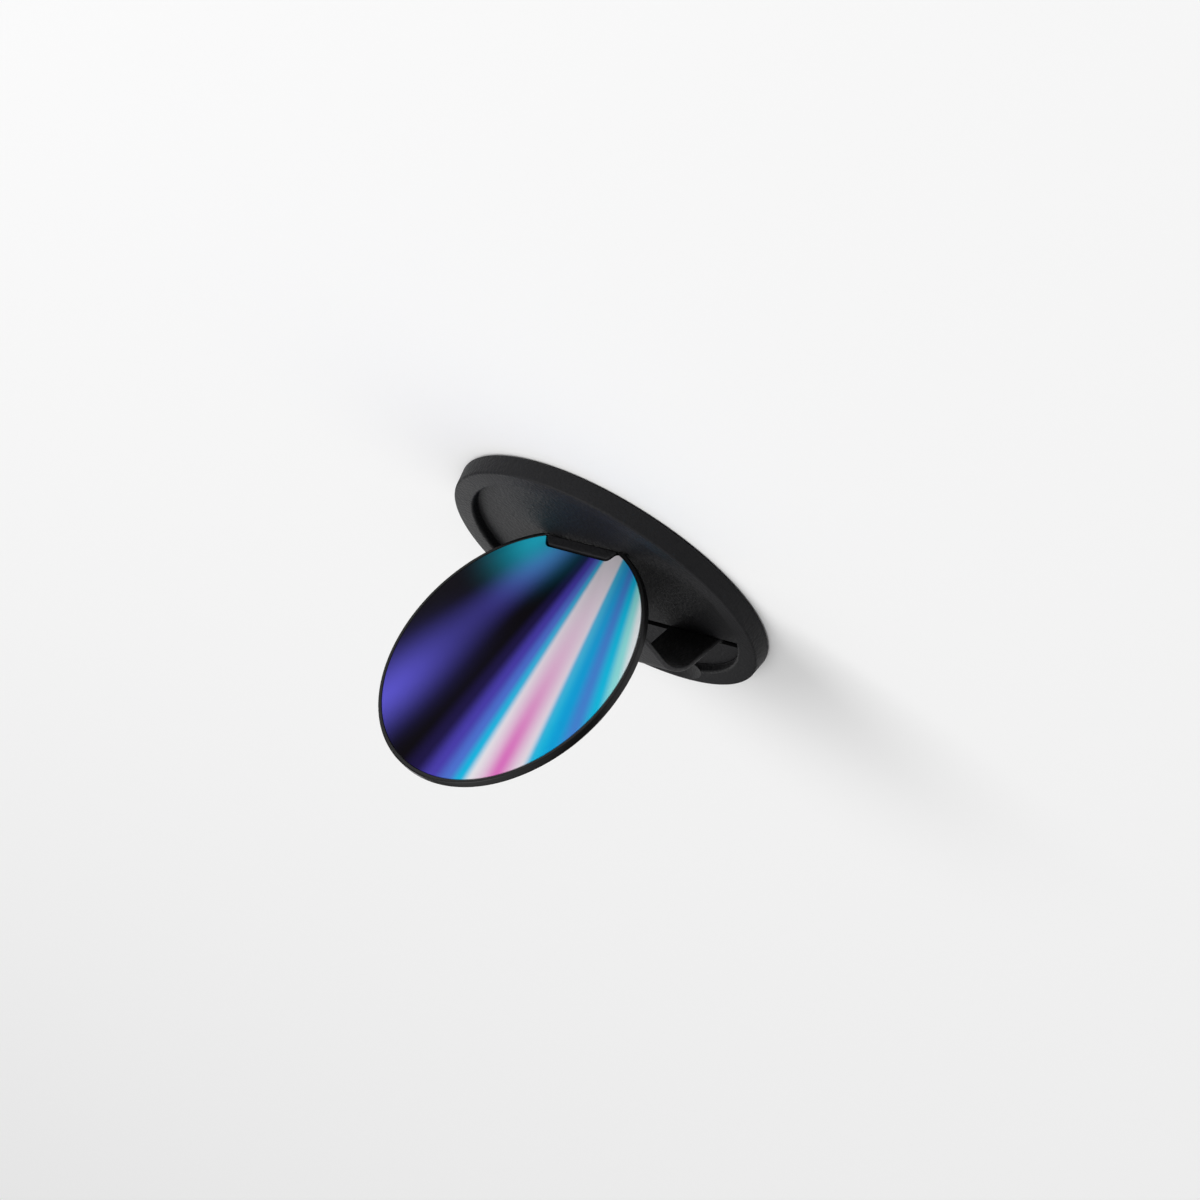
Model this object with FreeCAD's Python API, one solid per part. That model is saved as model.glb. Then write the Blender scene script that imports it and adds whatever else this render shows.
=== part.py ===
import FreeCAD, Part
import math
import os

# Magnetic phone grip: a round magnetic base, a folding disc that is both grip plate and kickstand,
# and a soft strap that ties the disc's foot to the base and makes a finger loop when the disc stands.
# Frame: origin at the middle of the magnetic face, +Z out of the base, +X along the hinge,
# +Y from the finger scoop towards the disc's foot. Millimetres throughout.
# The disc's pieces are drawn folded flat into the base, then stood up about the hinge rod.

# Folding disc
DISC_RADIUS = 23.9
DISC_THICKNESS = 2.1
DISC_BACK_BEVEL = 0.9
DISC_LIP = 0.65
DISC_EDGE_BEVEL = 0.15
FACE_THICKNESS = 0.5
FOLD_GAP = 0.25
OPEN_ANGLE_DEG = 90.0

# Base, whose pocket takes the disc
BASE_HEIGHT = 3.55
BASE_FRONT_BEVEL = 0.25
RIM_TAPER = 0.45
POCKET_DEPTH = 1.6
POCKET_LIP_BEVEL = 0.35
SKIRT_LIFT = 0.25
SKIRT_WALL = 0.85

# Finger scoop in the rim, where a nail lifts the disc's free edge
SCOOP_RADIUS = 6.75
SCOOP_INSET = 3.9
SCOOP_DEPTH = 2.4

# Closing plates behind the base
PAD_THICKNESS = 0.4
PAD_INSET = 0.35
COVER_THICKNESS = 0.5
COVER_LEDGE = 0.2

# Magnet ring under the rim, with a gap at the scoop
MAGNET_COUNT = 16
MAGNET_WIDTH = 2.0
MAGNET_THICKNESS = 1.5
MAGNET_GAP = 0.3
YOKE_THICKNESS = 0.5
CHANNEL_INNER_WALL = 0.6
CHANNEL_HALF_GAP_DEG = 20.0

# Hinge rod at the disc's foot
ROD_RADIUS = 0.4
ROD_INSET = 2.75
ROD_HEIGHT_IN_DISC = 0.95
ROD_END_PLAY = 0.1
EAR_GRIP = 1.4

# Strap and the finger loop it makes when the disc stands
STRAP_THICKNESS = 0.8
STRAP_HALF_WIDTH = 15.0
STRAP_WINDOW_HALF_WIDTH = 4.3
STRAP_ROOT_INSET = 10.4
STRAP_SINK = 0.1
STRAP_FLANGE_LENGTH = 5.5
STRAP_FLANGE_THICKNESS = 0.5
STRAP_TAPER_START = 2.0
STRAP_TAPER_LENGTH = 5.0
STRAP_BRIDGE = 4.5
LOOP_SPAN = 20.75
LOOP_HEIGHT = 9.8
LOOP_LEAN_DEG = 20.0
LOOP_BEND_RADIUS = 4.2
KNUCKLE_RADIUS = 0.75
KNUCKLE_HALF_WIDTH = 6.6

# Tab that caps the strap's knuckle in the face, with its ends on the rod's ears
TAB_HEIGHT = 1.8
TAB_SEAT = 1.1
TAB_SIDE_SLANT = 1.4
TAB_PROUD = 0.15
TAB_GAP = 0.35
TAB_CORNER_ROUND = 0.8
TAB_EDGE_BEVEL = 0.15

# Latch magnets that hold the disc's free edge to the base
LATCH_RADIUS = 2.0
LATCH_THICKNESS = 0.9
LATCH_SPACING = 16.0
LATCH_EDGE_INSET = 3.6

# Clearances
POCKET_CLEARANCE = 0.4
SEAT_CLEARANCE = 0.1
ROD_CLEARANCE = 0.04
STRAP_CLEARANCE = 0.4
CHANNEL_CLEARANCE = 0.15
NOTCH_CLEARANCE = 0.2

# Radii that follow from the disc outwards
POCKET_RADIUS = DISC_RADIUS + POCKET_CLEARANCE
CHANNEL_INNER = POCKET_RADIUS + CHANNEL_INNER_WALL
CHANNEL_OUTER = CHANNEL_INNER + MAGNET_WIDTH + 2 * SEAT_CLEARANCE
COVER_RADIUS = CHANNEL_OUTER + COVER_LEDGE
BASE_REAR_RADIUS = COVER_RADIUS + SEAT_CLEARANCE + SKIRT_WALL
BASE_FRONT_RADIUS = BASE_REAR_RADIUS - RIM_TAPER
FACE_SEAT_RADIUS = DISC_RADIUS - DISC_LIP
BIG = 4 * BASE_REAR_RADIUS

# Heights, with the disc folded
FLOOR_Z = BASE_HEIGHT - POCKET_DEPTH
SEAT_Z = PAD_THICKNESS + COVER_THICKNESS
MAGNET_TOP_Z = SEAT_Z + MAGNET_THICKNESS
CHANNEL_TOP_Z = MAGNET_TOP_Z + YOKE_THICKNESS
DISC_BACK_Z = FLOOR_Z + FOLD_GAP
DISC_FRONT_Z = DISC_BACK_Z + DISC_THICKNESS
FACE_SEAT_Z = DISC_FRONT_Z - FACE_THICKNESS
ROD_Z = DISC_BACK_Z + ROD_HEIGHT_IN_DISC

# Places along Y
STRAP_ROOT_Y = STRAP_ROOT_INSET - POCKET_RADIUS
STRAP_FOOT_Y = STRAP_ROOT_Y + LOOP_SPAN
LOOP_MIDDLE_Y = STRAP_ROOT_Y + LOOP_SPAN / 2
SLOT_FAR_Y = STRAP_ROOT_Y + STRAP_THICKNESS / 2 + STRAP_CLEARANCE
SLOT_NEAR_Y = STRAP_ROOT_Y - STRAP_THICKNESS / 2 - STRAP_CLEARANCE
OPEN_ROD_Y = STRAP_FOOT_Y + ROD_HEIGHT_IN_DISC - STRAP_SINK - STRAP_THICKNESS / 2
ROD_FOLDED_Y = DISC_RADIUS - ROD_INSET
TRAVEL = ROD_FOLDED_Y - OPEN_ROD_Y
TAB_EDGE_Y = ROD_FOLDED_Y + ROD_HEIGHT_IN_DISC

# Widths at the hinge
NOTCH_HALF_WIDTH = KNUCKLE_HALF_WIDTH + NOTCH_CLEARANCE
ROD_HALF_LENGTH = NOTCH_HALF_WIDTH + EAR_GRIP
TAB_HALF_WIDTH = NOTCH_HALF_WIDTH + TAB_SEAT

X_AXIS = FreeCAD.Vector(1, 0, 0)
Z_AXIS = FreeCAD.Vector(0, 0, 1)


def point(x, y, z):
    return FreeCAD.Vector(x, y, z)


def plate(radius, low, high):
    """A round plate about Z between two heights."""
    return Part.makeCylinder(radius, high - low, point(0, 0, low), Z_AXIS)


def prism(points, travel):
    """A closed outline of points, pushed along a vector."""
    return Part.Face(Part.makePolygon(points + points[:1])).extrude(travel)


def rod_along_x(radius, half_length):
    """A round bar on the hinge axis, in the folded place."""
    return Part.makeCylinder(radius, 2 * half_length, point(-half_length, ROD_FOLDED_Y, ROD_Z), X_AXIS)


def middle(edge):
    return edge.valueAt((edge.FirstParameter + edge.LastParameter) / 2)


def bevel_circle(shape, size, radius, z):
    """Bevels the circular edges of one radius at one height."""
    def wanted(edge):
        at = middle(edge)
        return abs(math.hypot(at.x, at.y) - radius) < 1e-4 and abs(at.z - z) < 1e-4
    return shape.makeChamfer(size, [edge for edge in shape.Edges if wanted(edge)])


def bent_path(points, radius):
    """A wire through points, with an arc at each corner between its ends."""
    edges = []
    start = points[0]
    for before, corner, after in zip(points, points[1:], points[2:]):
        back = (before - corner).normalize()
        onward = (after - corner).normalize()
        half = back.getAngle(onward) / 2
        enter = corner + back * (radius / math.tan(half))
        leave = corner + onward * (radius / math.tan(half))
        inward = (back + onward).normalize()
        crest = corner + inward * (radius / math.sin(half) - radius)
        edges += [Part.makeLine(start, enter), Part.Arc(enter, crest, leave).toShape()]
        start = leave
    return Part.Wire(edges + [Part.makeLine(start, points[-1])])


def stand_up(shape):
    """Carries a folded piece to the open pose: down the floor by the travel, and up about the hinge rod."""
    shape = shape.copy()
    shape.rotate(point(0, ROD_FOLDED_Y, ROD_Z), X_AXIS, -OPEN_ANGLE_DEG)
    shape.translate(point(0, -TRAVEL, 0))
    return shape


def sector(inner, outer, low, high, start_deg, end_deg):
    """Part of a ring, between two angles from +X."""
    corners = [point(inner, 0, low), point(outer, 0, low), point(outer, 0, high), point(inner, 0, high)]
    face = Part.Face(Part.makePolygon(corners + corners[:1]))
    face.rotate(point(0, 0, 0), Z_AXIS, start_deg)
    return face.revolve(point(0, 0, 0), Z_AXIS, end_deg - start_deg)


def channel_span():
    """The first and last angle of the magnet channel, which starts and ends beside the scoop at -Y."""
    return -90.0 + CHANNEL_HALF_GAP_DEG, 270.0 - CHANNEL_HALF_GAP_DEG


def strap_segment(chord_y, radius, low, high):
    """The slice of a round plate on the scoop's side of a chord."""
    beyond = Part.makeBox(2 * BIG, BIG, BIG, point(-BIG, chord_y, -BIG / 2))
    return plate(radius, low, high).cut(beyond)


def scoop():
    """A ball whose round mouth on the rim's front plane has the scoop's radius."""
    ball_radius = (SCOOP_RADIUS ** 2 + SCOOP_DEPTH ** 2) / (2 * SCOOP_DEPTH)
    centre_z = BASE_HEIGHT - SCOOP_DEPTH + ball_radius
    return Part.makeSphere(ball_radius, point(0, SCOOP_INSET - POCKET_RADIUS, centre_z))


def base_housing():
    """Moulded shell: tapered rim, round pocket for the disc, magnet channel and seat for the cover behind."""
    height = BASE_HEIGHT - SKIRT_LIFT
    body = Part.makeCone(BASE_REAR_RADIUS, BASE_FRONT_RADIUS, height, point(0, 0, SKIRT_LIFT), Z_AXIS)
    body = bevel_circle(body, BASE_FRONT_BEVEL, BASE_FRONT_RADIUS, BASE_HEIGHT)
    body = body.cut(plate(POCKET_RADIUS, FLOOR_Z, BASE_HEIGHT))
    body = bevel_circle(body, POCKET_LIP_BEVEL, POCKET_RADIUS, BASE_HEIGHT)
    body = body.cut(plate(COVER_RADIUS + SEAT_CLEARANCE, SKIRT_LIFT, SEAT_Z))
    body = body.cut(sector(CHANNEL_INNER, CHANNEL_OUTER, SEAT_Z, CHANNEL_TOP_Z, *channel_span()))
    body = body.cut(strap_segment(SLOT_FAR_Y, POCKET_RADIUS, SEAT_Z, FLOOR_Z))
    return body.cut(scoop())


def rear_cover():
    """Flat plate that closes the magnet channel and carries the strap's flange."""
    return plate(COVER_RADIUS, PAD_THICKNESS, SEAT_Z)


def contact_pad():
    """Soft disc that meets the phone."""
    return plate(COVER_RADIUS - PAD_INSET, 0, PAD_THICKNESS)


def ring_magnets():
    """Arc magnets, evenly spread along the channel."""
    start, end = channel_span()
    inner = CHANNEL_INNER + SEAT_CLEARANCE
    outer = CHANNEL_OUTER - SEAT_CLEARANCE
    gap = math.degrees(MAGNET_GAP / inner)
    pitch = (end - start - gap) / MAGNET_COUNT
    return [
        sector(inner, outer, SEAT_Z, MAGNET_TOP_Z, start + gap + pitch * i, start + pitch * (i + 1))
        for i in range(MAGNET_COUNT)]


def yoke_ring():
    """Steel strip over the magnets that turns their field towards the phone."""
    start, end = channel_span()
    inner = CHANNEL_INNER + SEAT_CLEARANCE
    gap = math.degrees(MAGNET_GAP / inner)
    return sector(inner, CHANNEL_OUTER - SEAT_CLEARANCE, MAGNET_TOP_Z, CHANNEL_TOP_Z, start + gap, end - gap)


def anchor_plate():
    """Segment that clamps the strap's flange on the cover, flush with the pocket's floor."""
    low = SEAT_Z + STRAP_FLANGE_THICKNESS
    return strap_segment(SLOT_NEAR_Y, POCKET_RADIUS - SEAT_CLEARANCE, low, FLOOR_Z)


def arch_band():
    """Flat strip swept along the open loop: up out of the slot, over the fingers and down behind the disc."""
    slope = math.tan(math.radians(LOOP_LEAN_DEG))
    start_z = SEAT_Z + STRAP_FLANGE_THICKNESS / 2
    top_z = FLOOR_Z + LOOP_HEIGHT
    side = -STRAP_HALF_WIDTH
    start = point(side, STRAP_ROOT_Y - slope * (FLOOR_Z - start_z), start_z)
    rise = point(side, STRAP_ROOT_Y + slope * LOOP_HEIGHT, top_z)
    fall = point(side, STRAP_FOOT_Y, top_z)
    path = bent_path([start, rise, fall, point(side, STRAP_FOOT_Y, ROD_Z)], LOOP_BEND_RADIUS)
    across = (rise - start).cross(X_AXIS).normalize() * (STRAP_THICKNESS / 2)
    width = X_AXIS * (2 * STRAP_HALF_WIDTH)
    section = [start - across, start + across, start + across + width, start - across + width]
    return path.makePipeShell([Part.makePolygon(section + section[:1])], True, False)


def foot_corner(side):
    """What is cut off one side of the arch, where the strap narrows down to its knuckle."""
    narrow = side * KNUCKLE_HALF_WIDTH
    wide = side * STRAP_HALF_WIDTH
    taper_z = ROD_Z + KNUCKLE_RADIUS + STRAP_TAPER_START
    wide_z = taper_z + STRAP_TAPER_LENGTH
    outline = [(narrow, 0), (narrow, taper_z), (wide, wide_z), (side * BIG, wide_z), (side * BIG, 0)]
    return prism([point(x, LOOP_MIDDLE_Y, z) for x, z in outline], point(0, BIG, 0))


def strap_window():
    """Opening along the middle of the arch that leaves two legs, joined by a bridge above the knuckle."""
    width = 2 * STRAP_WINDOW_HALF_WIDTH
    bridge_z = ROD_Z + KNUCKLE_RADIUS + STRAP_BRIDGE
    root_side = Part.makeBox(width, BIG, BIG, point(-width / 2, LOOP_MIDDLE_Y - BIG, FLOOR_Z))
    foot_side = Part.makeBox(width, BIG, BIG, point(-width / 2, LOOP_MIDDLE_Y, bridge_z))
    return root_side.fuse(foot_side)


def strap_flange():
    """The strap's end in the base, under the anchor plate."""
    start = point(-STRAP_HALF_WIDTH, STRAP_ROOT_Y + STRAP_THICKNESS / 2 - STRAP_FLANGE_LENGTH, SEAT_Z)
    flange = Part.makeBox(2 * STRAP_HALF_WIDTH, STRAP_FLANGE_LENGTH, STRAP_FLANGE_THICKNESS, start)
    return flange.common(plate(POCKET_RADIUS - SEAT_CLEARANCE, SEAT_Z, FLOOR_Z))


def strap():
    """Moulded soft strap: flange, two-legged arch, and a knuckle round the hinge rod."""
    arch = arch_band().cut(foot_corner(-1)).cut(foot_corner(1)).cut(strap_window())
    knuckle = stand_up(rod_along_x(KNUCKLE_RADIUS, KNUCKLE_HALF_WIDTH))
    bore = stand_up(rod_along_x(ROD_RADIUS + ROD_CLEARANCE, ROD_HALF_LENGTH))
    return arch.fuse([strap_flange(), knuckle]).removeSplitter().cut(bore)


def hinge_rod():
    """Steel rod through the strap's knuckle, with its ends in the disc's foot."""
    return stand_up(rod_along_x(ROD_RADIUS, ROD_HALF_LENGTH))


def tab_outline(grow, z):
    """The tab's trapezium, at the foot of the face, wider towards the disc's edge."""
    edge = TAB_EDGE_Y + grow
    top = TAB_EDGE_Y - TAB_HEIGHT - grow
    wide = TAB_HALF_WIDTH + grow
    narrow = TAB_HALF_WIDTH - TAB_SIDE_SLANT + grow
    return [point(-wide, edge, z), point(wide, edge, z), point(narrow, top, z), point(-narrow, top, z)]


def tab_block(grow, low, high):
    """The tab's outline as a block, with the corners of its narrow end rounded."""
    block = prism(tab_outline(grow, low), point(0, 0, high - low))
    top = TAB_EDGE_Y - TAB_HEIGHT - grow

    def wanted(edge):
        upright = abs(edge.tangentAt(edge.FirstParameter).z) > 0.5
        return upright and abs(middle(edge).y - top) < 1e-6
    return block.makeFillet(TAB_CORNER_ROUND + grow, [edge for edge in block.Edges if wanted(edge)])


def strap_channel():
    """Space in the disc's back that the flat strap fills when the disc is folded."""
    half = STRAP_HALF_WIDTH + STRAP_CLEARANCE
    narrow = NOTCH_HALF_WIDTH
    taper_y = ROD_FOLDED_Y - KNUCKLE_RADIUS - STRAP_TAPER_START + 2 * STRAP_CLEARANCE
    wide_y = taper_y - STRAP_TAPER_LENGTH
    far_y = STRAP_ROOT_Y - STRAP_CLEARANCE - STRAP_THICKNESS
    z = DISC_BACK_Z
    outline = [
        point(-narrow, BIG, z), point(narrow, BIG, z), point(narrow, taper_y, z), point(half, wide_y, z),
        point(half, far_y, z), point(-half, far_y, z), point(-half, wide_y, z), point(-narrow, taper_y, z)]
    depth = STRAP_SINK + STRAP_THICKNESS + CHANNEL_CLEARANCE
    return prism(outline, point(0, 0, depth))


def knuckle_notch():
    """Opening through the disc's foot for the strap's knuckle."""
    low_y = ROD_FOLDED_Y - KNUCKLE_RADIUS - NOTCH_CLEARANCE
    return Part.makeBox(2 * NOTCH_HALF_WIDTH, BIG, BIG, point(-NOTCH_HALF_WIDTH, low_y, DISC_BACK_Z))


def ear_waste():
    """What is cut off the disc's foot so that its ears turn about the rod without touching the floor."""
    ear_radius = ROD_HEIGHT_IN_DISC
    beyond = Part.makeBox(2 * BIG, BIG, BIG, point(-BIG, ROD_FOLDED_Y + ear_radius, DISC_BACK_Z))
    corner = Part.makeBox(2 * BIG, ear_radius, ear_radius, point(-BIG, ROD_FOLDED_Y, DISC_BACK_Z))
    return beyond.fuse(corner.cut(rod_along_x(ear_radius, 2 * BIG)))


def latch_places():
    """Centres of the latch magnets' seats, at one distance from the disc's edge."""
    y = -math.sqrt((DISC_RADIUS - LATCH_EDGE_INSET) ** 2 - (LATCH_SPACING / 2) ** 2)
    return [point(x, y, FACE_SEAT_Z - LATCH_THICKNESS) for x in (-LATCH_SPACING / 2, LATCH_SPACING / 2)]


def disc_frame():
    """Moulded disc: lip round the face, bevelled back edge, strap channel behind and ears for the rod."""
    straight = DISC_THICKNESS - DISC_BACK_BEVEL
    rim = plate(DISC_RADIUS, DISC_FRONT_Z - straight, DISC_FRONT_Z)
    narrow = DISC_RADIUS - DISC_BACK_BEVEL
    bevel = Part.makeCone(narrow, DISC_RADIUS, DISC_BACK_BEVEL, point(0, 0, DISC_BACK_Z), Z_AXIS)
    body = bevel_circle(rim, DISC_EDGE_BEVEL, DISC_RADIUS, DISC_FRONT_Z).fuse(bevel)
    body = body.cut(plate(FACE_SEAT_RADIUS, FACE_SEAT_Z, DISC_FRONT_Z))
    body = body.cut(tab_block(SEAT_CLEARANCE, FACE_SEAT_Z, DISC_FRONT_Z))
    body = body.cut(strap_channel()).cut(knuckle_notch()).cut(ear_waste())
    body = body.cut(rod_along_x(ROD_RADIUS + ROD_CLEARANCE, ROD_HALF_LENGTH + ROD_END_PLAY))
    for place in latch_places():
        body = body.cut(Part.makeCylinder(LATCH_RADIUS + SEAT_CLEARANCE, LATCH_THICKNESS, place, Z_AXIS))
    return stand_up(body)


def face_insert():
    """Printed plate in the disc's lip, cut away round the tab."""
    body = plate(FACE_SEAT_RADIUS - SEAT_CLEARANCE, FACE_SEAT_Z, DISC_FRONT_Z)
    gap = tab_block(TAB_GAP, FACE_SEAT_Z, DISC_FRONT_Z)
    half = TAB_HALF_WIDTH + TAB_GAP
    foot = Part.makeBox(2 * half, BIG, BIG, point(-half, TAB_EDGE_Y, FACE_SEAT_Z))
    return stand_up(body.cut(gap).cut(foot))


def foot_tab():
    """Tab that covers the knuckle in the face, hollowed where the knuckle turns under it."""
    front_z = DISC_FRONT_Z + TAB_PROUD
    body = tab_block(0, FACE_SEAT_Z, front_z)
    front_edges = [edge for edge in body.Edges if abs(middle(edge).z - front_z) < 1e-6]
    body = body.makeChamfer(TAB_EDGE_BEVEL, front_edges)
    return stand_up(body.cut(rod_along_x(KNUCKLE_RADIUS + SEAT_CLEARANCE, NOTCH_HALF_WIDTH)))


def latch_magnets():
    """Round magnets under the face, near the disc's free edge."""
    flat = [Part.makeCylinder(LATCH_RADIUS, LATCH_THICKNESS, place, Z_AXIS) for place in latch_places()]
    return [stand_up(magnet) for magnet in flat]


def pieces():
    """Every piece by its node name."""
    made = {
        "base_housing": base_housing(),
        "rear_cover": rear_cover(),
        "contact_pad": contact_pad(),
        "yoke_ring": yoke_ring(),
        "anchor_plate": anchor_plate(),
        "strap": strap(),
        "hinge_rod": hinge_rod(),
        "disc_frame": disc_frame(),
        "face_insert": face_insert(),
        "foot_tab": foot_tab(),
    }
    for i, magnet in enumerate(ring_magnets(), 1):
        made["ring_magnet_%02d" % i] = magnet
    for side, magnet in zip(("left", "right"), latch_magnets()):
        made["latch_magnet_" + side] = magnet
    return made


os.makedirs("parts", exist_ok=True)
for name, shape in pieces().items():
    shape.exportStep("parts/" + name + ".step")
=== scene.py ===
import math

import bmesh
import bpy
from mathutils import Matrix, Vector


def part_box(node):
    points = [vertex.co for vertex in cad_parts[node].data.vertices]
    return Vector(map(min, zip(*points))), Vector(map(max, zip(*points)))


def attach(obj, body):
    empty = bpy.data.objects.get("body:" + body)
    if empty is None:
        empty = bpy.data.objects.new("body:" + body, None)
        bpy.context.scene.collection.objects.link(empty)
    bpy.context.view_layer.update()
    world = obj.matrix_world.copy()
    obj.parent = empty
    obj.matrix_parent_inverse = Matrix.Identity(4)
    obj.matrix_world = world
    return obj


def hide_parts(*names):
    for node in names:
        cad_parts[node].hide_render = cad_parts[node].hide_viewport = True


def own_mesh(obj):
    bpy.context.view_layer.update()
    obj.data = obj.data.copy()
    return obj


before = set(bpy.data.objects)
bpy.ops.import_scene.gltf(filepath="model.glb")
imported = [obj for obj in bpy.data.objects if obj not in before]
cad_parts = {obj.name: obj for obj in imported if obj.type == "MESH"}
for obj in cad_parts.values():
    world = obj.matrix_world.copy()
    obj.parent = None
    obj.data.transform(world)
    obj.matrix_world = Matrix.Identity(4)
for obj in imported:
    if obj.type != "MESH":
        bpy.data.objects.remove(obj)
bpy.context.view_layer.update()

# Looks of a folding magnetic phone grip. Sizes are millimetres in the frame of the solids:
# +Z out of the base, +X along the hinge rod, +Y from the finger scoop to the disc's foot.
# Finished meshes are in metres.
MM = 0.001


def box_mm(node):
    """A node's lowest and highest corner in millimetres."""
    low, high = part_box(node)
    return Vector(low) / MM, Vector(high) / MM


# Sizes read from the frame
housing_low, housing_high = box_mm("base_housing")
disc_low, disc_high = box_mm("disc_frame")
face_low, face_high = box_mm("face_insert")
tab_low, tab_high = box_mm("foot_tab")
rod_low, rod_high = box_mm("hinge_rod")
pad_low, pad_high = box_mm("contact_pad")
cover_low, cover_high = box_mm("rear_cover")
anchor_low, anchor_high = box_mm("anchor_plate")
ROD = (rod_low + rod_high) / 2
ROD_RADIUS = (rod_high.z - rod_low.z) / 2
BASE_RADIUS = housing_high.x
BASE_TOP = housing_high.z
FLOOR_Z = anchor_high.z
SEAT_Z = cover_high.z
DISC_RADIUS = disc_high.x
FACE_RADIUS = face_high.x

# The disc's pieces are modelled folded flat about Z, then stood up about the hinge rod
ROD_FOLDED_Y = disc_high.z - DISC_RADIUS - ROD.z
DISC_BACK = ROD.z - (ROD.y - disc_low.y)
DISC_FRONT = ROD.z + (disc_high.y - ROD.y)
FACE_SEAT = ROD.z + (face_low.y - ROD.y)
TAB_FRONT = ROD.z + (tab_high.y - ROD.y)
TAB_EDGE_Y = ROD_FOLDED_Y + ROD.z - tab_low.z
TAB_HEIGHT = tab_high.z - tab_low.z
TAB_HALF_WIDTH = tab_high.x

# Base
BASE_TAPER = 0.45
BASE_FRONT_ROUND = 0.4
BASE_REAR_ROUND = 0.25
SKIRT_WALL = 0.85
POCKET_RADIUS = 24.3
POCKET_LIP_ROUND = 0.5
POCKET_FOOT_ROUND = 0.25
SLOT_FAR_Y = -13.1
SCOOP_RADIUS = 6.75
SCOOP_CENTRE_Y = -20.4
SCOOP_DEPTH = 2.4
MAGNET_CHANNEL_INNER = 24.9
MAGNET_CHANNEL_OUTER = 27.1
MAGNET_CHANNEL_TOP = 2.9
MAGNET_CHANNEL_HALF_GAP_DEG = 20.0
ANCHOR_GAP = 0.1
ANCHOR_EDGE_ROUND = 0.1
COVER_EDGE_ROUND = 0.1
PAD_EDGE_ROUND = 0.18
SEAM = 0.05

# Disc
DISC_LIP = 0.65
DISC_FRONT_ROUND = 0.22
DISC_LIP_ROUND = 0.08
DISC_BACK_BEVEL = 0.9
DISC_BACK_ROUND = 0.6
DISC_SIDE_ROUND = 0.4
FACE_EDGE_ROUND = 0.06
# The face's horns, its corners beside the tab at +X and -X: their rounds, and the rim that each takes
FACE_HORN_ROUND = 0.9
FACE_HORN_RUN = 1.8
FACE_FAR_HORN_ROUND = 0.25
FACE_FAR_HORN_RUN = 1.0
NOTCH_HALF_WIDTH = 6.8
NOTCH_DEPTH_Y = 0.95
STRAP_CHANNEL_HALF_WIDTH = 15.4
STRAP_CHANNEL_DEPTH = 1.05
STRAP_CHANNEL_TAPER_Y = 1.95
STRAP_CHANNEL_TAPER_LENGTH = 5.0
STRAP_CHANNEL_FAR_Y = -15.1
STRAP_CHANNEL_NECK_ROUND = 0.6
STRAP_CHANNEL_SHOULDER_ROUND = 1.2
STRAP_CHANNEL_FAR_ROUND = 1.0

# Print: the x and z that its rays start from, and their colours by the turn in degrees from straight up
PRINT_ORIGIN = (6.0, -18.0)
PRINT_RAYS = [
    (-41.0, "#0b0812"), (-34.0, "#0b0812"), (-25.0, "#2e2a6b"), (-15.0, "#08050b"), (-12.5, "#08050b"),
    (-9.0, "#1c1442"), (-5.4, "#483da8"), (-2.6, "#4c70cc"), (-0.5, "#12b4de"), (1.3, "#e4e6e8"),
    (8.6, "#e4e6e8"), (10.2, "#14b8de"), (13.0, "#109fd8"), (16.0, "#4482d0"), (19.0, "#14b8de"),
    (21.5, "#8cdada"), (24.0, "#e0e6e8")]
# Soft spots over the rays: pink along the pale ray, violet at both ends of a dark one, cyan beside the tab.
# Each has its colour, middle in x and z, half width and height, and lean in degrees.
PRINT_SPOTS = [
    ("#d870bc", (11.6, 44.0), (7.5, 75.0), 5.2), ("#5852c4", (-19.0, 37.0), (15.0, 33.0), -25.0),
    ("#5852c4", (-4.6, 4.6), (8.5, 26.0), -25.0), ("#2edcfc", (-9.6, 1.8), (18.0, 18.0), 0.0)]

# Tab
TAB_SIDE_SLANT = 1.4
TAB_CORNER_ROUND = 1.0
TAB_EDGE_ROUND = 0.28
TAB_GAP = 0.35
TAB_SEAT_GAP = 0.1

# Strap
STRAP_THICKNESS = 0.8
STRAP_HALF_WIDTH = 15.0
STRAP_WINDOW_HALF_WIDTH = 4.3
STRAP_EDGE_ROUND = 0.3
STRAP_FOOT_INSET = 0.45
STRAP_BRIDGE = 4.5
STRAP_TAPER_LOW = 5.9
STRAP_TAPER_HIGH = 10.9
LOOP_TOP_Z = 11.75
LOOP_RISE_Y = -10.33
LOOP_ROOT = (-14.1, 1.5)
LOOP_END = (-15.6, 1.25)
LOOP_BEND_RADIUS = 6.0
LOOP_ROOT_BEND = 1.0
KNUCKLE_RADIUS = 0.75
KNUCKLE_HALF_WIDTH = 6.6
KNUCKLE_END_ROUND = 0.15

# Steps of a full circle, a corner's arc, a softened edge, the scoop's ball,
# and the strap's length, bends and edges
ROUND_STEPS = 240
ARC_STEPS = 6
EDGE_STEPS = 3
BALL_STEPS = 160
STRAP_STEPS = 130
STRAP_BEND_STEPS = 16
STRAP_EDGE_STEPS = 4
# An edge that turns by more than this is shaded sharp
SHARP_DEG = 32.0
# Points closer than this become one, heights closer than this are level, and cutters stand out this far
MERGE_MM = 1e-4
LEVEL_MM = 1e-6
CUT_PAST = 1.0

# Camera, fitted to the photograph
CAMERA_PLACE = (649.19, 642.02, 311.90)
CAMERA_LOOK = (-0.67352, -0.66771, -0.31707)
CAMERA_UP = (-0.19119, 0.57173, -0.79785)
CAMERA_LENS = 182.87
CAMERA_SENSOR = 36.0
CAMERA_NEAR = 10.0
CAMERA_FAR = 20000.0

# Lamps: place, aim, side of the square, and watts
KEY_LAMP = ((-500, 1100, 1000), (0, 0, 10), 800, 12.5)
SHEEN_LAMP = ((-85, -42, 34), (-18, 14, 2), 56, 0.018)

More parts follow.
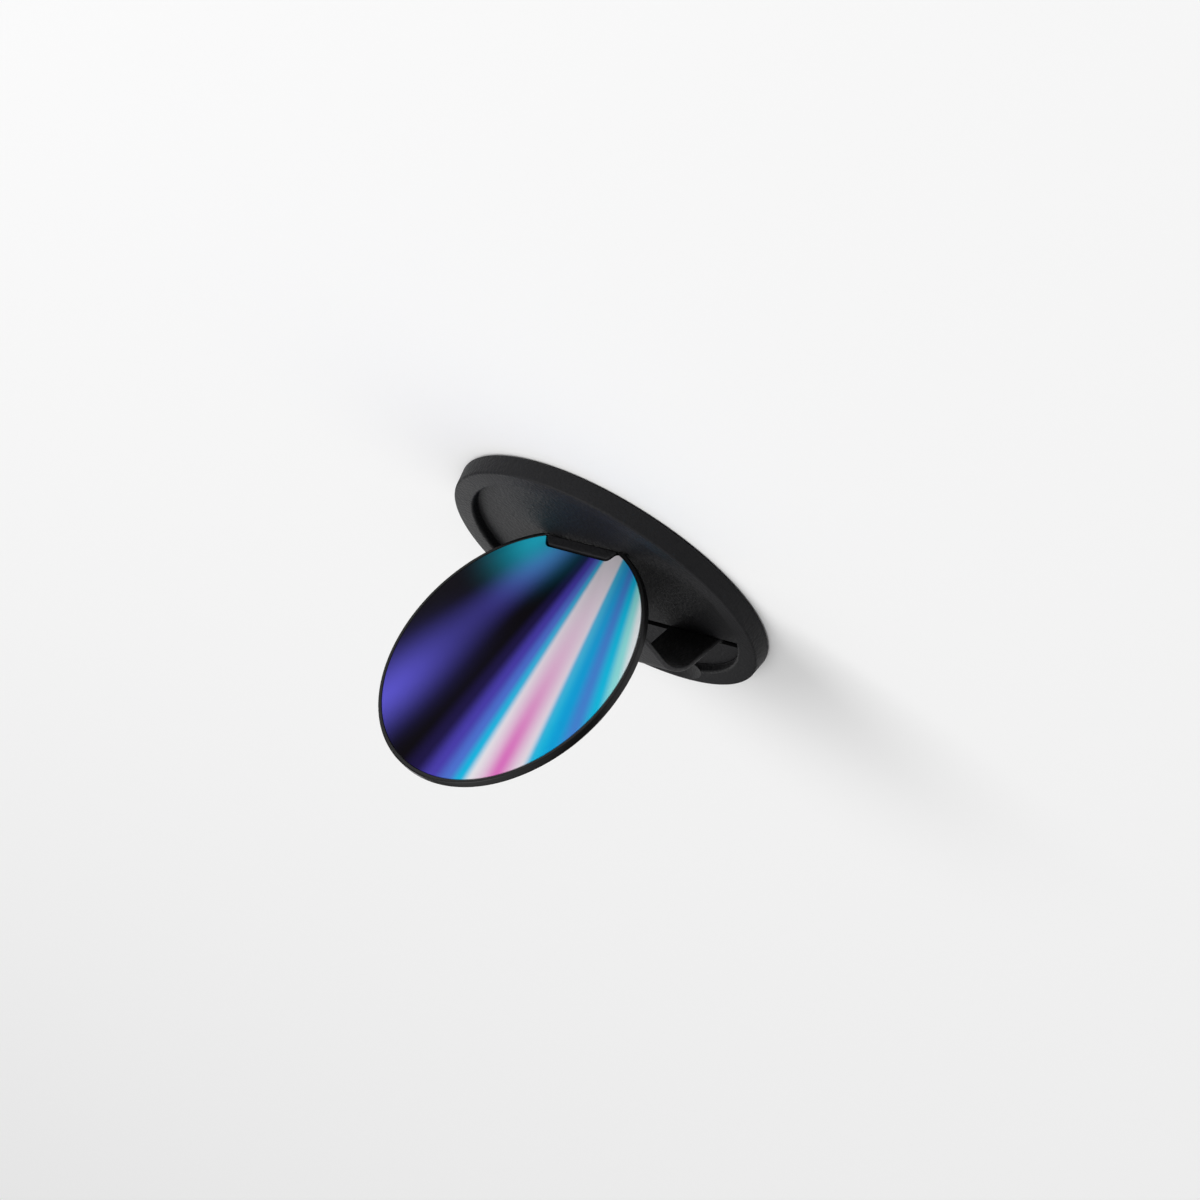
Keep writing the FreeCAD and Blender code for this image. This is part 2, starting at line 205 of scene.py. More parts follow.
# Surround: its light rises from dim to pale between two heights, 0 at the horizon and 1 overhead
SKY_LOW = 0.4
SKY_HIGH = 0.95
SKY_DIM = 0.03
SKY_PALE = 1.3

# Floor, wide enough to run out of sight
FLOOR_HALF_WIDTH = 4000.0


# Meshes


def rounded(corners):
    """A closed outline whose corners, given as (a, b, radius), become arcs."""
    out = []
    for i, (a, b, radius) in enumerate(corners):
        corner = Vector((a, b))
        if radius == 0:
            out.append(corner)
            continue
        before = (Vector(corners[i - 1][:2]) - corner).normalized()
        after = (Vector(corners[(i + 1) % len(corners)][:2]) - corner).normalized()
        half = before.angle(after) / 2
        centre = corner + (before + after).normalized() * radius / math.sin(half)
        start = corner + before * radius / math.tan(half) - centre
        end = corner + after * radius / math.tan(half) - centre
        turn = math.atan2(start.x * end.y - start.y * end.x, start.dot(end))
        for k in range(ARC_STEPS + 1):
            out.append(centre + Matrix.Rotation(turn * k / ARC_STEPS, 2) @ start)
    return out


def finished(name, bm, matrix=None):
    """Closes a bmesh of millimetres into an object at the origin, in metres."""
    bmesh.ops.remove_doubles(bm, verts=bm.verts, dist=MERGE_MM)
    bmesh.ops.dissolve_degenerate(bm, edges=bm.edges, dist=MERGE_MM)
    bmesh.ops.recalc_face_normals(bm, faces=bm.faces)
    bm.transform(Matrix.Scale(MM, 4) @ (matrix or Matrix.Identity(4)))
    mesh = bpy.data.meshes.new(name)
    bm.to_mesh(mesh)
    bm.free()
    piece = bpy.data.objects.new(name, mesh)
    bpy.context.scene.collection.objects.link(piece)
    return piece


def lathe(outline):
    """A closed outline of (radius, height) turned about Z."""
    bm = bmesh.new()
    rings = []
    for step in range(ROUND_STEPS):
        angle = 2 * math.pi * step / ROUND_STEPS
        rings.append([bm.verts.new((r * math.cos(angle), r * math.sin(angle), z)) for r, z in outline])
    for step, ring in enumerate(rings):
        following = rings[(step + 1) % ROUND_STEPS]
        for i in range(len(ring)):
            j = (i + 1) % len(ring)
            # A stretch on the axis makes no face
            if outline[i][0] + outline[j][0] > 0:
                bm.faces.new((ring[i], following[i], following[j], ring[j]))
    return bm


def prism(outline, low, high):
    """A closed outline of (x, y) raised from one height to another."""
    bm = bmesh.new()
    face = bm.faces.new([bm.verts.new((p[0], p[1], low)) for p in outline])
    raised = bmesh.ops.extrude_face_region(bm, geom=[face])["geom"]
    verts = [v for v in raised if isinstance(v, bmesh.types.BMVert)]
    bmesh.ops.translate(bm, verts=verts, vec=(0, 0, high - low))
    return bm


def soften_top(bm, top, width):
    """Rounds the edges of a prism's upper face."""
    bm.normal_update()
    edges = [e for e in bm.edges if all(abs(v.co.z - top) < LEVEL_MM for v in e.verts)]
    bmesh.ops.bevel(
        bm, geom=edges, offset=width, segments=EDGE_STEPS, profile=0.5, affect="EDGES", clamp_overlap=True)
    return bm


def bake(piece):
    """Turns a piece's modifiers into its plain mesh."""
    depsgraph = bpy.context.evaluated_depsgraph_get()
    mesh = bpy.data.meshes.new_from_object(piece.evaluated_get(depsgraph))
    piece.modifiers.clear()
    piece.data = mesh
    return piece


def carve(piece, *cutters):
    """Cuts closed pieces out of another and removes them."""
    for cutter in cutters:
        cut = piece.modifiers.new("cut", "BOOLEAN")
        cut.operation = "DIFFERENCE"
        cut.solver = "EXACT"
        cut.object = cutter
    bake(piece)
    for cutter in cutters:
        bpy.data.objects.remove(cutter)
    return piece


# Every dressed piece, for the lamp that leaves the floor alone
grip = bpy.data.collections.new("grip")


def dress(piece, material, body, slot, *nodes):
    """Gives a piece its material and smooth shading, and sets it on its body in place of its nodes."""
    grip.objects.link(piece)
    piece.data.materials.clear()
    piece.data.materials.append(material)
    piece.data.polygons.foreach_set("use_smooth", [True] * len(piece.data.polygons))
    piece.data.set_sharp_from_angle(angle=math.radians(SHARP_DEG))
    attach(piece, body)
    if nodes:
        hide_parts(*nodes)
    return piece


def standing():
    """Carries the folded disc to its open place."""
    fold = Matrix.Rotation(-math.pi / 2, 4, "X")
    return Matrix.Translation((0, ROD.y, ROD.z)) @ fold @ Matrix.Translation((0, -ROD_FOLDED_Y, -ROD.z))


# Materials

# A mix node's colour sockets, by index since its sockets share their names
MIX_BELOW = 6
MIX_ABOVE = 7
MIX_RESULT = 2
# Width of the slow drift in shade that moulding and handling leave
DRIFT_MM = 9.0
# The real grain is about 0.05 mm: it is drawn this coarse so that it shows in the render
GRAIN_MM = 0.6
GRAIN_DEPTH_MM = 0.2


def linear(hex_colour):
    """An sRGB hex colour as linear RGBA."""
    channels = [int(hex_colour[i:i + 2], 16) / 255 for i in (1, 3, 5)]
    return tuple(c / 12.92 if c <= 0.04045 else ((c + 0.055) / 1.055) ** 2.4 for c in channels) + (1.0,)


def add(tree, kind, settings=None, links=None):
    """One node with its properties, socket values and incoming links."""
    node = tree.nodes.new(kind)
    for name, value in (settings or {}).items():
        if isinstance(name, str) and hasattr(node, name):
            setattr(node, name, value)
        else:
            node.inputs[name].default_value = value
    for name, source in (links or {}).items():
        tree.links.new(source, node.inputs[name])
    return node


def new_material(name, shader_values):
    """A material whose surface is one principled shader with these values."""
    material = bpy.data.materials.new(name)
    material.use_nodes = True
    shader = material.node_tree.nodes["Principled BSDF"]
    for socket, value in shader_values.items():
        shader.inputs[socket].default_value = value
    return material, material.node_tree, shader


def per_metre(size_mm):
    """A noise scale whose cells are about this size."""
    return 1 / (size_mm * MM)


def grained(name, dark, light, roughness, bump, shader_values):
    """Surface with an even grain that breaks up gloss, and a slow drift of shade and roughness."""
    material, tree, shader = new_material(name, shader_values)
    place = add(tree, "ShaderNodeTexCoord").outputs["Object"]
    drift = add(tree, "ShaderNodeTexNoise", {"Scale": per_metre(DRIFT_MM), "Detail": 3.0},
                {"Vector": place})
    shade = add(tree, "ShaderNodeMix",
                {"data_type": "RGBA", MIX_BELOW: linear(dark), MIX_ABOVE: linear(light)},
                {"Factor": drift.outputs["Fac"]})
    tree.links.new(shade.outputs[MIX_RESULT], shader.inputs["Base Color"])
    gloss = add(tree, "ShaderNodeMapRange", {"To Min": roughness[0], "To Max": roughness[1]},
                {"Value": drift.outputs["Fac"]})
    tree.links.new(gloss.outputs["Result"], shader.inputs["Roughness"])
    grain = add(tree, "ShaderNodeTexNoise", {"Scale": per_metre(GRAIN_MM), "Detail": 2.0},
                {"Vector": place})
    relief = add(tree, "ShaderNodeBump", {"Strength": bump, "Distance": GRAIN_DEPTH_MM * MM},
                 {"Height": grain.outputs["Fac"]})
    tree.links.new(relief.outputs["Normal"], shader.inputs["Normal"])
    return material


def moulded_abs():
    """Black ABS with a fine spark-eroded grain: even, satin, with broad soft highlights."""
    return grained("moulded_black_abs", "#18181a", "#1e1e20", roughness=(0.56, 0.64), bump=0.75,
                   shader_values={"IOR": 1.5, "Specular IOR Level": 0.2})


def moulded_abs_fine():
    """Black ABS from a polished tool, for the disc: smoother, so its edges catch a thin light line."""
    return grained("polished_black_abs", "#0f0f10", "#141415", roughness=(0.3, 0.37), bump=0.12,
                   shader_values={"IOR": 1.5, "Specular IOR Level": 0.22})


def soft_tpu():
    """Black thermoplastic polyurethane, moulded soft: dull, with a faint bloom at glancing angles."""
    return grained("moulded_black_tpu", "#2a2a2c", "#303032", roughness=(0.5, 0.6), bump=0.7,
                   shader_values={"IOR": 1.5, "Sheen Weight": 0.12, "Sheen Roughness": 0.5})


def foamed_rubber():
    """Dark grey foamed rubber with a cast skin: flat and dull."""
    return grained("foamed_rubber", "#1c1c1d", "#242425", roughness=(0.7, 0.8), bump=0.5,
                   shader_values={"IOR": 1.45})


def plated_nickel():
    """Nickel plate on a magnet: bright metal with a faint warm tint."""
    return grained("nickel_plate", "#b9b4a8", "#c9c5bb", roughness=(0.2, 0.32), bump=0.05,
                   shader_values={"Metallic": 1.0})


def rolled_steel():
    """Plain rolled steel strip and drawn rod: grey, lightly scuffed."""
    return grained("rolled_steel", "#8f9092", "#a3a4a6", roughness=(0.3, 0.42), bump=0.1,
                   shader_values={"Metallic": 1.0})


def soft_spot(tree, place, middle, half_sizes, lean):
    """How much of a soft oval lies here: 1 at its middle, fading to 0 at its rim."""
    # The oval is a metre deep, so that only the place across the face counts
    oval = add(tree, "ShaderNodeMapping", {
        "vector_type": "TEXTURE", "Location": (middle[0] * MM, 0.0, middle[1] * MM),
        "Rotation": (0.0, math.radians(lean), 0.0),
        "Scale": (half_sizes[0] * MM, 1.0, half_sizes[1] * MM)}, {"Vector": place})
    fade = add(tree, "ShaderNodeTexGradient", {"gradient_type": "QUADRATIC_SPHERE"},
               {"Vector": oval.outputs["Vector"]})
    soft = add(tree, "ShaderNodeMapRange", {"interpolation_type": "SMOOTHSTEP"},
               {"Value": fade.outputs["Fac"]})
    return soft.outputs["Result"]


def printed_polycarbonate():
    """Printed polycarbonate plate: hardly any gloss, deep colours in rays that fan out from below it."""
    values = {"Roughness": 0.28, "IOR": 1.5, "Specular IOR Level": 0.02}
    material, tree, shader = new_material("printed_polycarbonate", values)
    place = add(tree, "ShaderNodeTexCoord").outputs["Object"]
    # The fan's middle goes to the origin and straight up to +X, where the radial gradient is half way
    fan = add(tree, "ShaderNodeMapping", {
        "vector_type": "POINT", "Location": (-PRINT_ORIGIN[1] * MM, -PRINT_ORIGIN[0] * MM, 0.0),
        "Rotation": (math.pi / 2, 0.0, math.pi / 2)}, {"Vector": place})
    turn = add(tree, "ShaderNodeTexGradient", {"gradient_type": "RADIAL"},
               {"Vector": fan.outputs["Vector"]})
    first, last = PRINT_RAYS[0][0], PRINT_RAYS[-1][0]
    share = add(tree, "ShaderNodeMapRange", {"From Min": first / 360 + 0.5, "From Max": last / 360 + 0.5},
                {"Value": turn.outputs["Fac"]})
    rays = add(tree, "ShaderNodeValToRGB", None, {"Fac": share.outputs["Result"]})
    rays.color_ramp.interpolation = "EASE"
    stops = rays.color_ramp.elements
    while len(stops) < len(PRINT_RAYS):
        stops.new(0.5)
    for stop, (degrees, ray_colour) in zip(stops, PRINT_RAYS):
        stop.position = (degrees - first) / (last - first)
        stop.color = linear(ray_colour)
    colour = rays.outputs["Color"]
    for spot_colour, middle, half_sizes, lean in PRINT_SPOTS:
        cover = soft_spot(tree, place, middle, half_sizes, lean)
        over = add(tree, "ShaderNodeMix", {"data_type": "RGBA", MIX_ABOVE: linear(spot_colour)},
                   {"Factor": cover, MIX_BELOW: colour})
        colour = over.outputs[MIX_RESULT]
    tree.links.new(colour, shader.inputs["Base Color"])
    return material


# Pieces


def base_shell():
    """Moulded base: tapered rim with a round pocket, a slot for the strap and a finger scoop in the rim."""
    front = BASE_RADIUS - BASE_TAPER
    skirt = BASE_RADIUS - SKIRT_WALL
    outline = rounded([
        (0, FLOOR_Z, 0), (POCKET_RADIUS, FLOOR_Z, POCKET_FOOT_ROUND),
        (POCKET_RADIUS, BASE_TOP, POCKET_LIP_ROUND), (front, BASE_TOP, BASE_FRONT_ROUND),
        (BASE_RADIUS, housing_low.z, BASE_REAR_ROUND), (skirt, housing_low.z, 0),
        (skirt, SEAT_Z, 0), (0, SEAT_Z, 0)])
    shell = finished("base_shell", lathe(outline))
    ball_radius = (SCOOP_RADIUS ** 2 + SCOOP_DEPTH ** 2) / (2 * SCOOP_DEPTH)
    ball_centre = (0, SCOOP_CENTRE_Y, BASE_TOP - SCOOP_DEPTH + ball_radius)
    ball = bmesh.new()
    bmesh.ops.create_uvsphere(ball, u_segments=BALL_STEPS, v_segments=BALL_STEPS // 2, radius=ball_radius)
    bmesh.ops.translate(ball, verts=ball.verts, vec=ball_centre)
    window = segment(SLOT_FAR_Y, POCKET_RADIUS - SEAM, 0, BASE_TOP)
    return carve(
        shell, finished("channel", magnet_channel()), finished("window", window), finished("scoop", ball))


def magnet_channel():
    """The magnets' channel, a ring that stops on both sides of the scoop."""
    gap = math.radians(MAGNET_CHANNEL_HALF_GAP_DEG)
    angles = [gap - math.pi / 2 + 2 * (math.pi - gap) * k / ROUND_STEPS for k in range(ROUND_STEPS + 1)]
    outline = []
    for radius, way in ((MAGNET_CHANNEL_OUTER, angles), (MAGNET_CHANNEL_INNER, reversed(angles))):
        outline += [(radius * math.cos(a), radius * math.sin(a)) for a in way]
    return prism(outline, housing_low.z, MAGNET_CHANNEL_TOP)


def segment(chord_y, radius, low, high):
    """The slice of a round plate on the scoop's side of a chord."""
    half_turn = math.acos(-chord_y / radius)
    steps = ROUND_STEPS // 2
    angles = [-math.pi / 2 - half_turn + 2 * half_turn * k / steps for k in range(steps + 1)]
    return prism([(radius * math.cos(a), radius * math.sin(a)) for a in angles], low, high)


def anchor_segment():
    """Plate that clamps the strap, flush with the floor."""
    plate = segment(anchor_high.y, POCKET_RADIUS - ANCHOR_GAP, anchor_low.z, anchor_high.z)
    return finished("anchor_segment", soften_top(plate, anchor_high.z, ANCHOR_EDGE_ROUND))


def round_plate(name, low, high, edge_round):
    """A round plate that fills a box, with its rear edge rounded."""
    return finished(name, lathe(rounded([
        (0, low.z, 0), (high.x, low.z, edge_round), (high.x, high.z, 0), (0, high.z, 0)])))


def rear_plate():
    """Flat plate behind the base."""
    return round_plate("rear_plate", cover_low, cover_high, COVER_EDGE_ROUND)


def grip_pad():
    """Soft disc that meets the phone, with a rolled edge."""
    return round_plate("grip_pad", pad_low, pad_high, PAD_EDGE_ROUND)


def disc_body():
    """Moulded disc: a lip round its face, a rounded back edge, and room behind for the folded strap."""
    lip = DISC_RADIUS - DISC_LIP
    back = DISC_RADIUS - DISC_BACK_BEVEL
    outline = rounded([
        (0, DISC_BACK, 0), (back, DISC_BACK, DISC_BACK_ROUND),
        (DISC_RADIUS, DISC_BACK + DISC_BACK_BEVEL, DISC_SIDE_ROUND),
        (DISC_RADIUS, DISC_FRONT, DISC_FRONT_ROUND), (lip, DISC_FRONT, DISC_LIP_ROUND),
        (lip, FACE_SEAT, 0), (0, FACE_SEAT, 0)])
    body = finished("disc_body", lathe(outline))
    beyond = 2 * DISC_RADIUS
    neck = NOTCH_HALF_WIDTH
    neck_y = ROD_FOLDED_Y - STRAP_CHANNEL_TAPER_Y
    wide = STRAP_CHANNEL_HALF_WIDTH
    wide_y = neck_y - STRAP_CHANNEL_TAPER_LENGTH
    channel = rounded([
        (-neck, beyond, 0), (neck, beyond, 0),
        (neck, neck_y, STRAP_CHANNEL_NECK_ROUND), (wide, wide_y, STRAP_CHANNEL_SHOULDER_ROUND),
        (wide, STRAP_CHANNEL_FAR_Y, STRAP_CHANNEL_FAR_ROUND),
        (-wide, STRAP_CHANNEL_FAR_Y, STRAP_CHANNEL_FAR_ROUND),
        (-wide, wide_y, STRAP_CHANNEL_SHOULDER_ROUND), (-neck, neck_y, STRAP_CHANNEL_NECK_ROUND)])
    notch_y = ROD_FOLDED_Y - NOTCH_DEPTH_Y
    notch = [(-neck, beyond), (neck, beyond), (neck, notch_y), (-neck, notch_y)]
    # The ears end flat, as far past the rod as the back lies behind it
    ear = ROD.z - DISC_BACK
    foot_y = ROD_FOLDED_Y + ear
    foot = [(-beyond, foot_y), (beyond, foot_y), (beyond, beyond), (-beyond, beyond)]
    low = DISC_BACK - CUT_PAST
    high = DISC_FRONT + CUT_PAST
    carve(
        body, finished("channel", prism(channel, low, DISC_BACK + STRAP_CHANNEL_DEPTH)),
        finished("notch", prism(notch, low, high)), finished("foot", prism(foot, low, high)))
    body.data.transform(Matrix.Scale(MM, 4) @ standing() @ Matrix.Scale(1 / MM, 4))
    return body


def tab_corners(grow, corner_round):
    """The tab's trapezium, wider towards the disc's edge."""
    top = TAB_EDGE_Y - TAB_HEIGHT - grow
    wide = TAB_HALF_WIDTH + grow
    narrow = TAB_HALF_WIDTH - TAB_SIDE_SLANT + grow
    foot = TAB_EDGE_Y + grow
    return [(wide, foot), (narrow, top, corner_round), (-narrow, top, corner_round), (-wide, foot)]


def reach(inner, outer, radius):
    """Where the line from an inner point to an outer one meets a circle about the origin."""
    start = Vector(inner[:2])
    along = Vector(outer[:2]) - start
    middle = -start.dot(along) / along.length_squared
    nearest = start + along * middle
    onward = math.sqrt((radius ** 2 - nearest.length_squared) / along.length_squared)
    return start + along * (middle + onward)


def face_plate():
    """Printed plate, round but for the place of the tab, whose corners it curves round."""
    right, narrow_right, narrow_left = tab_corners(TAB_GAP, TAB_CORNER_ROUND + TAB_GAP)[:3]
    horn = reach(narrow_right, right, FACE_RADIUS)
    start = math.atan2(horn.y, horn.x)
    # The rim's arc leaves room for the horns' rounds
    first = math.pi - start + math.asin(FACE_FAR_HORN_RUN / FACE_RADIUS)
    last = 2 * math.pi + start - math.asin(FACE_HORN_RUN / FACE_RADIUS)
    outline = [(-horn.x, horn.y, FACE_FAR_HORN_ROUND)]
    for k in range(ROUND_STEPS + 1):
        angle = first + (last - first) * k / ROUND_STEPS
        outline.append((FACE_RADIUS * math.cos(angle), FACE_RADIUS * math.sin(angle), 0))
    outline += [(horn.x, horn.y, FACE_HORN_ROUND), narrow_right, narrow_left]
    bm = soften_top(prism(rounded(outline), FACE_SEAT, DISC_FRONT), DISC_FRONT, FACE_EDGE_ROUND)
    return finished("face_plate", bm, standing())


def tab_cap():
    """Black tab over the strap's knuckle, with softly rounded edges."""
    right, narrow_right, narrow_left, left = tab_corners(0, TAB_CORNER_ROUND)
    low = ROD.z + KNUCKLE_RADIUS + TAB_SEAT_GAP
    outline = rounded([right + (TAB_EDGE_ROUND,), narrow_right, narrow_left, left + (TAB_EDGE_ROUND,)])
    bm = soften_top(prism(outline, low, TAB_FRONT), TAB_FRONT, TAB_EDGE_ROUND)
    return finished("tab_cap", bm, standing())


def strap_tree():
    """Sweeps a flat rounded section along a bent path: two legs, with a bridge near the path's start."""
    tree = bpy.data.node_groups.new("strap_loop", "GeometryNodeTree")
    tree.interface.new_socket("Path", in_out="INPUT", socket_type="NodeSocketGeometry")
    for name in ("Thickness", "Leg width", "Leg offset", "Bridge width", "Bridge length", "Edge radius",
                 "Middle Y", "Taper low", "Taper high", "Foot share"):
        tree.interface.new_socket(name, in_out="INPUT", socket_type="NodeSocketFloat")
    tree.interface.new_socket("Material", in_out="INPUT", socket_type="NodeSocketMaterial")
    tree.interface.new_socket("Geometry", in_out="OUTPUT", socket_type="NodeSocketGeometry")
    given = add(tree, "NodeGroupInput").outputs

    bend = add(tree, "GeometryNodeInputNamedAttribute", {"data_type": "FLOAT", "Name": "bend"})
    line = add(tree, "GeometryNodeMeshToCurve", None, {"Mesh": given["Path"]})
    # These nodes have a socket for each type or mode, and only those in use are enabled
    radius = [socket for socket in bend.outputs if socket.enabled and socket.type == "VALUE"][0]
    bent = add(tree, "GeometryNodeFilletCurve", {"mode": "POLY", "Count": STRAP_BEND_STEPS},
               {"Curve": line.outputs["Curve"], "Radius": radius})
    even = add(tree, "GeometryNodeResampleCurve", {"Count": STRAP_STEPS}, {"Curve": bent.outputs["Curve"]})
    loop = even.outputs["Curve"]
    heel = add(tree, "GeometryNodeTrimCurve", {"mode": "LENGTH"}, {"Curve": loop})
    lengths = [socket for socket in heel.inputs if socket.enabled and socket.type == "VALUE"]
    lengths[0].default_value = 0.0
    tree.links.new(given["Bridge length"], lengths[1])
    other = add(tree, "ShaderNodeMath", {"operation": "MULTIPLY", 1: -1.0}, {0: given["Leg offset"]})
    joined = add(tree, "GeometryNodeMeshBoolean", {"operation": "UNION", "solver": "EXACT"})
    bands = [
        (loop, given["Leg width"], {"X": given["Leg offset"]}),
        (loop, given["Leg width"], {"X": other.outputs[0]}),
        (heel.outputs["Curve"], given["Bridge width"], None)]
    for along, width, offset in bands:
        outline = add(tree, "GeometryNodeCurvePrimitiveQuadrilateral", None,
                      {"Width": width, "Height": given["Thickness"]})
        soft = add(tree, "GeometryNodeFilletCurve", {"mode": "POLY", "Count": STRAP_EDGE_STEPS},
                   {"Curve": outline.outputs["Curve"], "Radius": given["Edge radius"]})
        shift = add(tree, "ShaderNodeCombineXYZ", None, offset)
        profile = add(tree, "GeometryNodeTransform", None,
                      {"Geometry": soft.outputs["Curve"], "Translation": shift.outputs["Vector"]})
        swept = add(tree, "GeometryNodeCurveToMesh", {"Fill Caps": True},
                    {"Curve": along, "Profile Curve": profile.outputs["Geometry"]})
        tree.links.new(swept.outputs["Mesh"], joined.inputs["Mesh 2"])
    # In front of its middle the strap narrows downwards to the knuckle's width
    position = add(tree, "GeometryNodeInputPosition").outputs["Position"]
    place = add(tree, "ShaderNodeSeparateXYZ", None, {"Vector": position}).outputs
    rise = add(tree, "ShaderNodeMapRange", {"interpolation_type": "SMOOTHSTEP", "To Max": 1.0},
               {"Value": place["Z"], "From Min": given["Taper low"], "From Max": given["Taper high"],
                "To Min": given["Foot share"]})
    behind = add(tree, "ShaderNodeMath", {"operation": "LESS_THAN"}, {0: place["Y"], 1: given["Middle Y"]})
    share = add(tree, "ShaderNodeMath", {"operation": "MAXIMUM"},
                {0: rise.outputs["Result"], 1: behind.outputs[0]})
    narrowed = add(tree, "ShaderNodeMath", {"operation": "MULTIPLY"}, {0: place["X"], 1: share.outputs[0]})
    moved = add(tree, "ShaderNodeCombineXYZ", None,
                {"X": narrowed.outputs[0], "Y": place["Y"], "Z": place["Z"]})
    tapered = add(tree, "GeometryNodeSetPosition", None,
                  {"Geometry": joined.outputs["Mesh"], "Position": moved.outputs["Vector"]})
    real = add(tree, "GeometryNodeRealizeInstances", None, {"Geometry": tapered.outputs["Geometry"]})
    coated = add(tree, "GeometryNodeSetMaterial", None,
                 {"Geometry": real.outputs["Geometry"], "Material": given["Material"]})
    add(tree, "NodeGroupOutput", None, {"Geometry": coated.outputs["Geometry"]})
    return tree


def loop_path():
    """The strap's middle line from the hinge rod over the loop into the slot, with each corner's bend."""
    foot_y = ROD.y - STRAP_FOOT_INSET
    corners = [
        (foot_y, ROD.z, 0), (foot_y, LOOP_TOP_Z, LOOP_BEND_RADIUS),
        (LOOP_RISE_Y, LOOP_TOP_Z, LOOP_BEND_RADIUS), LOOP_ROOT + (LOOP_ROOT_BEND,), LOOP_END + (0,)]
    bm = bmesh.new()
    verts = [bm.verts.new((0, y, z)) for y, z, bend in corners]
    for start, end in zip(verts, verts[1:]):
        bm.edges.new((start, end))
    path = finished("strap_band", bm)
    bends = path.data.attributes.new("bend", "FLOAT", "POINT")
    for value, (y, z, bend) in zip(bends.data, corners):
        value.value = bend * MM
    return path


def strap_band(material):
    """Soft strap in its open shape, from the slot in the floor to the disc's foot."""
    leg = STRAP_HALF_WIDTH - STRAP_WINDOW_HALF_WIDTH
    sizes = {
        "Thickness": STRAP_THICKNESS * MM, "Leg width": leg * MM,
        "Leg offset": (STRAP_WINDOW_HALF_WIDTH + leg / 2) * MM,
        "Bridge width": 2 * (STRAP_WINDOW_HALF_WIDTH + STRAP_THICKNESS) * MM,
        "Bridge length": (KNUCKLE_RADIUS + STRAP_BRIDGE) * MM, "Edge radius": STRAP_EDGE_ROUND * MM,
        "Middle Y": (ROD.y + LOOP_RISE_Y) / 2 * MM, "Taper low": STRAP_TAPER_LOW * MM,
        "Taper high": STRAP_TAPER_HIGH * MM, "Foot share": KNUCKLE_HALF_WIDTH / STRAP_HALF_WIDTH,
        "Material": material}
    band = loop_path()
    nodes = band.modifiers.new("loop", "NODES")
    nodes.node_group = strap_tree()
    for item in nodes.node_group.interface.items_tree:
        if item.in_out == "INPUT" and item.name in sizes:
            nodes[item.identifier] = sizes[item.name]
    return bake(band)


def strap_knuckle():
    """Rolled end of the strap round the hinge rod."""
    bore = ROD_RADIUS + SEAM
    half = KNUCKLE_HALF_WIDTH
    outline = rounded([
        (bore, -half, 0), (KNUCKLE_RADIUS, -half, KNUCKLE_END_ROUND),
        (KNUCKLE_RADIUS, half, KNUCKLE_END_ROUND), (bore, half, 0)])
    turn = Matrix.Translation(ROD) @ Matrix.Rotation(math.pi / 2, 4, "Y")
    return finished("strap_knuckle", lathe(outline), turn)


# Scene


def stage():
    """Plain pale floor that runs out of sight."""
    bm = bmesh.new()
    bmesh.ops.create_grid(bm, x_segments=1, y_segments=1, size=FLOOR_HALF_WIDTH)
    floor = finished("floor", bm)
    values = {"Base Color": linear("#f6f6f6"), "Roughness": 0.9, "Specular IOR Level": 0.1}
    floor.data.materials.append(new_material("pale_floor", values)[0])


def lamp(name, place, aim, size, watts):
    """A square soft lamp, in millimetres, that points at a place."""
    data = bpy.data.lights.new(name, "AREA")
    data.shape = "SQUARE"
    data.size = size * MM
    data.energy = watts
    light = bpy.data.objects.new(name, data)
    light.location = Vector(place) * MM
    light.rotation_mode = "QUATERNION"
    light.rotation_quaternion = (Vector(aim) - Vector(place)).to_track_quat("-Z", "Y")
    light.visible_camera = False
    bpy.context.scene.collection.objects.link(light)
    return light


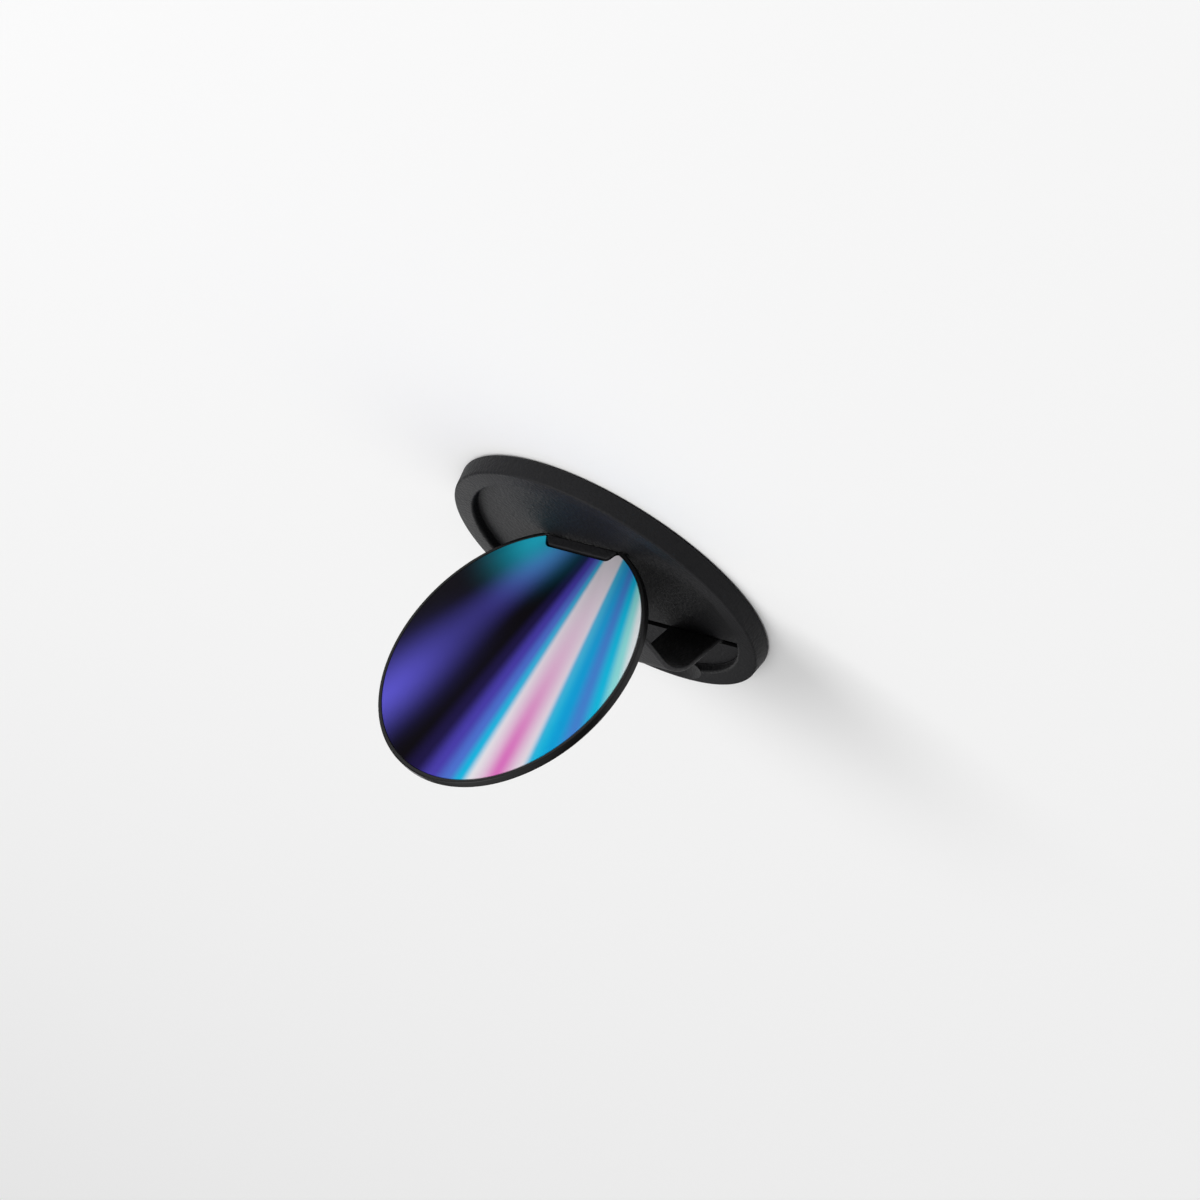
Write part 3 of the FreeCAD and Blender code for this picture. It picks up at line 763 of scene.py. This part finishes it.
def surround():
    """Studio air: pale overhead, dim near the horizon."""
    world = bpy.data.worlds.new("surround")
    world.use_nodes = True
    tree = world.node_tree
    direction = add(tree, "ShaderNodeTexCoord").outputs["Generated"]
    height = add(tree, "ShaderNodeSeparateXYZ", None, {"Vector": direction}).outputs["Z"]
    level = add(tree, "ShaderNodeMapRange",
                {"From Min": SKY_LOW, "From Max": SKY_HIGH, "To Min": SKY_DIM, "To Max": SKY_PALE},
                {"Value": height})
    background = tree.nodes["Background"]
    background.inputs["Color"].default_value = linear("#ffffff")
    tree.links.new(level.outputs["Result"], background.inputs["Strength"])
    bpy.context.scene.world = world


def lights():
    """A broad lamp on the face's side, and a small one low behind that gives the base a sheen."""
    lamp("key", *KEY_LAMP)
    sheen = lamp("sheen", *SHEEN_LAMP)
    # It leaves the floor alone
    sheen.light_linking.receiver_collection = grip
    surround()


def camera():
    """The photograph's view."""
    data = bpy.data.cameras.new("camera")
    data.lens = CAMERA_LENS
    data.sensor_width = CAMERA_SENSOR
    data.clip_start = CAMERA_NEAR * MM
    data.clip_end = CAMERA_FAR * MM
    look = Vector(CAMERA_LOOK).normalized()
    right = look.cross(Vector(CAMERA_UP)).normalized()
    up = right.cross(look)
    eye = bpy.data.objects.new("camera", data)
    turn = Matrix((right, up, -look)).transposed().to_4x4()
    eye.matrix_world = Matrix.Translation(Vector(CAMERA_PLACE) * MM) @ turn
    bpy.context.scene.collection.objects.link(eye)
    bpy.context.scene.camera = eye


def dress_hidden_nodes(finishes):
    """Gives the solids that stay as they are their material, by how their names start."""
    for name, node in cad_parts.items():
        for start, material in finishes.items():
            if name.startswith(start):
                node.data.materials.clear()
                node.data.materials.append(material)


base_black = moulded_abs()
disc_black = moulded_abs_fine()
rubber = soft_tpu()
nickel = plated_nickel()
steel = rolled_steel()
dress(base_shell(), base_black, "base", "soft_black", "base_housing")
dress(anchor_segment(), base_black, "base", "soft_black", "anchor_plate")
dress(rear_plate(), base_black, "base", "soft_black", "rear_cover")
dress(grip_pad(), foamed_rubber(), "base", "pad_black", "contact_pad")
dress(disc_body(), disc_black, "disc", "soft_black", "disc_frame")
dress(face_plate(), printed_polycarbonate(), "disc", "face_print", "face_insert")
dress(tab_cap(), base_black, "disc", "soft_black", "foot_tab")
band = dress(strap_band(rubber), rubber, "base", "strap_black", "strap")
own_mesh(band)
dress(strap_knuckle(), rubber, "strap_end", "strap_black")
dress_hidden_nodes({"ring_magnet": nickel, "latch_magnet": nickel, "yoke_ring": steel, "hinge_rod": steel})
stage()
lights()
camera()
bpy.context.scene.view_settings.view_transform = "Standard"
